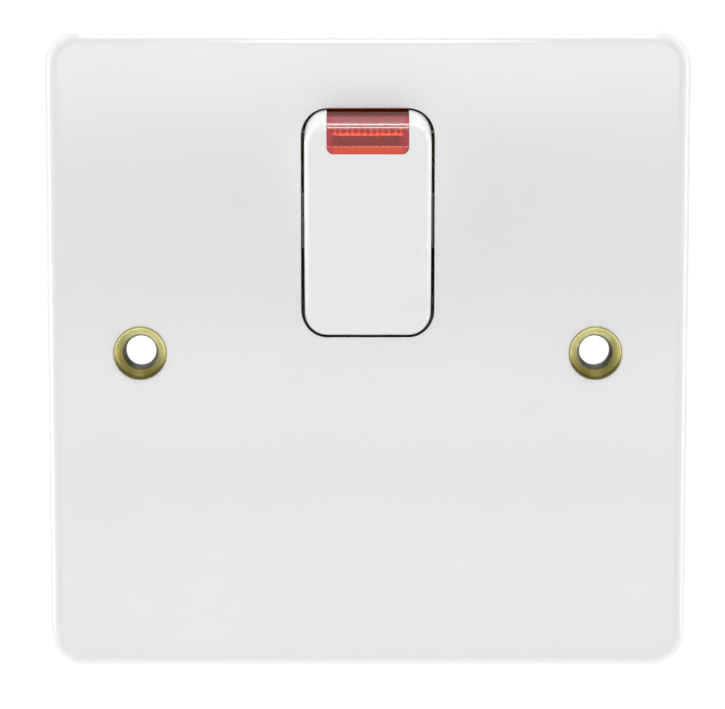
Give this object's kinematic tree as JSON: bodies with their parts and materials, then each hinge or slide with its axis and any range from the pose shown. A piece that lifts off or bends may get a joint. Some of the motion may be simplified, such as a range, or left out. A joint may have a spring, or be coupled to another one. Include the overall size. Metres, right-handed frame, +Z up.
{
  "type": "double pole switch",
  "caption": "Square white wall plate with a tilting rocker, a red signal lens in its upper end, countersunk fixing eyelets and a rear housing holding contacts and terminals.",
  "frame": {"origin": "middle of the plate on the wall plane that the plate's rim rests on", "axes": "+X to the right as seen from the room, +Y from the room into the wall, +Z up"},
  "size_m": [0.085, 0.0254, 0.085],
  "materials": {
    "white_plate": "smooth glossy white urea moulding",
    "white_rocker": "smooth glossy white moulding",
    "housing_moulding": "dull off-white thermoset moulding",
    "red_lens": "clear red acrylic",
    "plunger_nylon": "natural nylon",
    "spring_steel": "bright spring wire",
    "contact_copper": "stamped copper strip",
    "contact_silver": "silver contact facing",
    "strip_brass": "stamped brass strip",
    "terminal_brass": "extruded and drilled brass",
    "screw_brass": "turned brass",
    "screw_steel": "zinc plated steel",
    "lamp_glass": "thin clear glass",
    "resistor_lacquer": "tan lacquer",
    "lead_wire": "tinned wire",
    "eyelet_brass": "yellow passivated brass",
    "strap_brass": "stamped brass strip"
  },
  "bodies": {
    "switch_body": {"front_plate": "white_plate", "rear_housing": "housing_moulding", "fixed_tip_live": "contact_silver", "fixed_tip_neutral": "contact_silver", "line_strip_live": "strip_brass", "line_strip_neutral": "strip_brass", "load_strip_live": "strip_brass", "load_strip_neutral": "strip_brass", "terminal_live_in": "terminal_brass", "terminal_live_out": "terminal_brass", "terminal_neutral_in": "terminal_brass", "terminal_neutral_out": "terminal_brass", "terminal_screws": "screw_brass", "housing_screws": "screw_steel", "neon_lamp": "lamp_glass", "neon_resistor": "resistor_lacquer", "neon_lead_live": "lead_wire", "neon_lead_neutral": "lead_wire", "eyelet_left": "eyelet_brass", "eyelet_right": "eyelet_brass", "earth_strap": "strap_brass", "earth_terminal": "terminal_brass", "earth_screw": "screw_brass"},
    "rocker": {"rocker": "white_rocker", "neon_lens": "red_lens", "spring_live": "spring_steel", "spring_neutral": "spring_steel"},
    "plunger_live": {"plunger_live": "plunger_nylon"},
    "plunger_neutral": {"plunger_neutral": "plunger_nylon"},
    "contact_live": {"moving_contact_live": "contact_copper", "moving_tip_live": "contact_silver"},
    "contact_neutral": {"moving_contact_neutral": "contact_copper", "moving_tip_neutral": "contact_silver"}
  },
  "joints": [
    {"name": "rocker_tilt", "type": "hinge", "parent": "switch_body", "child": "rocker", "pos_m": [0, -0.0035, 0.0173], "axis": [-1, 0, 0], "range_deg": [0, 13]},
    {"name": "contact_tilt_live", "type": "hinge", "parent": "switch_body", "child": "contact_live", "pos_m": [0, 0.00595, 0.0173], "axis": [1, 0, 0], "range_deg": [0, 16]},
    {"name": "contact_tilt_neutral", "type": "hinge", "parent": "switch_body", "child": "contact_neutral", "pos_m": [0, 0.00595, 0.0173], "axis": [1, 0, 0], "range_deg": [0, 16]},
    {"name": "plunger_slide_live", "type": "slide", "parent": "rocker", "child": "plunger_live", "axis": [0, 0.9936, 0.1132], "range_m": [-0.001, 0], "stiffness_N_per_m": 150, "deforming": ["spring_live"]},
    {"name": "plunger_slide_neutral", "type": "slide", "parent": "rocker", "child": "plunger_neutral", "axis": [0, 0.9936, 0.1132], "range_m": [-0.001, 0], "stiffness_N_per_m": 150, "deforming": ["spring_neutral"]}
  ],
  "couplings": [
    {"joint": "contact_tilt_live", "follows": "rocker_tilt", "ratio": 1.2307},
    {"joint": "contact_tilt_neutral", "follows": "rocker_tilt", "ratio": 1.2307}
  ]
}
